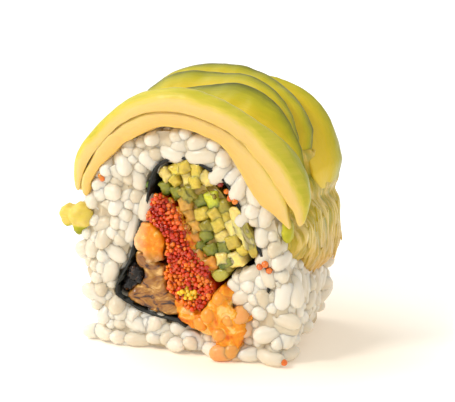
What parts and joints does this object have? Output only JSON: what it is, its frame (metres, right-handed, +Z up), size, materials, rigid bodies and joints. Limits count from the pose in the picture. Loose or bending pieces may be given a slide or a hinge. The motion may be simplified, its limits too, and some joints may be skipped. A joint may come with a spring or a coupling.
{
  "type": "uramaki roll piece",
  "caption": "Piece of inside-out sushi roll on its side, rice outside, topped with fanned avocado slices, filled with cucumber, roe, prawn, eel and sauce.",
  "frame": {"origin": "on the flat foot that the piece rests on, below the middle of the roll", "axes": "+Z up, the roll's axis along Y, the cut face dressed with sauce looks along -Y, +X to its right"},
  "size_m": [0.0462, 0.0312, 0.0476],
  "materials": {
    "rice": "steamed short-grain rice, translucent white with a wet gloss",
    "nori": "damp dried seaweed sheet, black-green and slightly crinkled",
    "cucumber": "wet cut cucumber, pale yellow-green with dark green skin",
    "roe": "translucent red-orange fish eggs with a wet gloss",
    "sauce": "glossy orange mayonnaise sauce",
    "prawn": "cream cooked meat stained orange",
    "eel": "glazed brown grilled fillet in flakes",
    "eel_skin": "black glazed skin with a wet gloss",
    "avocado": "ripe avocado flesh, cream-yellow inside and green at the rim",
    "crushed_avocado": "crushed avocado flesh, fibrous and wet"
  },
  "bodies": {
    "root": {"rice": "rice", "nori": "nori", "cucumber_sticks": "cucumber", "cucumber_strip": "cucumber", "flying_fish_roe": "roe", "spicy_sauce": "sauce", "prawn_meat": "prawn", "eel_fillet": "eel", "eel_skin": "eel_skin", "avocado_slice_1": "avocado", "avocado_slice_2": "avocado", "avocado_slice_3": "avocado", "avocado_slice_4": "avocado", "avocado_slice_5": "avocado", "avocado_slice_6": "avocado", "crushed_avocado": "crushed_avocado", "avocado_scrap": "crushed_avocado"}
  },
  "joints": []
}
